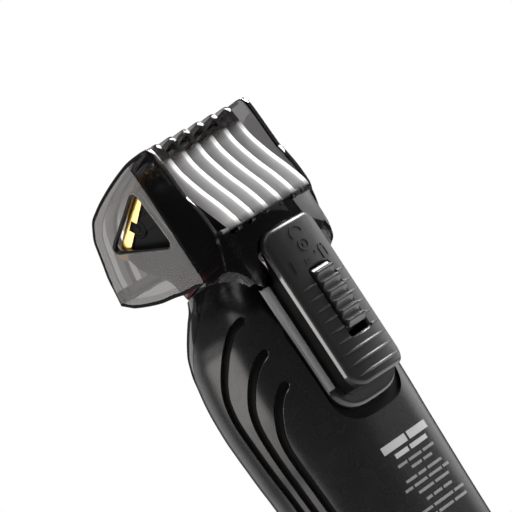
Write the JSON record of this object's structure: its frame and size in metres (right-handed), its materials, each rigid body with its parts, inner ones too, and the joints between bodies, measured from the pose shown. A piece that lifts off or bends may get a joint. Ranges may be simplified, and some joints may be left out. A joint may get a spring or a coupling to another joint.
{
  "type": "body groomer",
  "caption": "Cordless body groomer: an upright handle with a slanted cutting head, a sliding smoke comb guide with thumb plate and lock button, and a power slide switch.",
  "frame": {"origin": "centre of the flat bottom face of the base cap", "axes": "+Z along the handle towards the cutting head, +Y towards the thumb-plate side, +X towards the groomer's left side as seen from the thumb-plate side looking along -Y"},
  "size_m": [0.0434, 0.0405, 0.1695],
  "materials": {
    "satin_black": "satin black moulded ABS",
    "gloss_black": "glossy black moulded ABS",
    "matte_black": "matte black moulded plastic",
    "head_black": "semi-matte black moulded plastic",
    "chassis_plastic": "dark grey moulded plastic",
    "smoke_clear": "smoke-grey transparent polycarbonate",
    "red_metal": "metallic dark red",
    "gold_blade": "gold titanium-nitride coated steel",
    "steel": "bright steel",
    "blade_steel": "ground steel",
    "nickel": "nickel plated",
    "copper": "copper",
    "magnet": "sintered ferrite",
    "pale_nylon": "natural nylon",
    "rubber": "soft black rubber",
    "cell_wrap": "plain green shrink sleeve",
    "board_green": "green solder mask",
    "lens_clear": "clear light guide",
    "wire_red": "red insulation",
    "wire_black": "black insulation"
  },
  "bodies": {
    "handle": {"back_housing": "satin_black", "front_housing": "gloss_black", "base_cap": "satin_black", "charging_jack": "matte_black", "jack_pin": "nickel", "neck_ring": "red_metal", "head_frame": "head_black", "fixed_blade": "gold_blade", "blade_spring": "steel", "blade_screw_left": "steel", "blade_screw_right": "steel", "motor_can": "steel", "motor_end_cap": "pale_nylon", "magnet_left": "magnet", "magnet_right": "magnet", "motor_mount": "chassis_plastic", "motor_screw_left": "steel", "motor_screw_right": "steel", "drive_seal": "rubber", "chassis": "chassis_plastic", "battery_left": "cell_wrap", "battery_right": "cell_wrap", "cell_link": "nickel", "cell_tab_left": "nickel", "cell_tab_right": "nickel", "circuit_board": "board_green", "switch_block": "pale_nylon", "charge_led": "lens_clear", "led_lens": "lens_clear", "lead_red": "wire_red", "lead_black": "wire_black", "lead_jack": "wire_red", "housing_screw_left": "steel", "housing_screw_right": "steel", "detent_rack": "pale_nylon"},
    "comb": {"comb_guide": "smoke_clear", "thumb_plate": "matte_black", "detent_spring": "steel", "lock_spring": "steel"},
    "lock": {"lock_button": "matte_black"},
    "switch": {"power_switch": "matte_black"},
    "rotor": {"motor_shaft": "steel", "armature": "blade_steel", "commutator": "copper", "drive_eccentric": "pale_nylon"},
    "cutter": {"moving_blade": "blade_steel", "cutter_carrier": "pale_nylon"}
  },
  "joints": [
    {"name": "comb_slide", "type": "slide", "parent": "handle", "child": "comb", "axis": [0, 0, 1], "range_m": [0, 0.017]},
    {"name": "lock_button_slide", "type": "slide", "parent": "comb", "child": "lock", "axis": [0, 0, -1], "range_m": [0, 0.0016], "deforming": ["lock_spring"]},
    {"name": "power_switch_slide", "type": "slide", "parent": "handle", "child": "switch", "axis": [0, 0, 1], "range_m": [0, 0.004]},
    {"name": "motor_spin", "type": "hinge", "parent": "handle", "child": "rotor", "pos_m": [0, 0.0015, 0.115], "axis": [0, 0, 1], "continuous": true},
    {"name": "cutter_slide", "type": "slide", "parent": "handle", "child": "cutter", "axis": [1, 0, 0], "range_m": [-0.00125, 0.00125]}
  ]
}
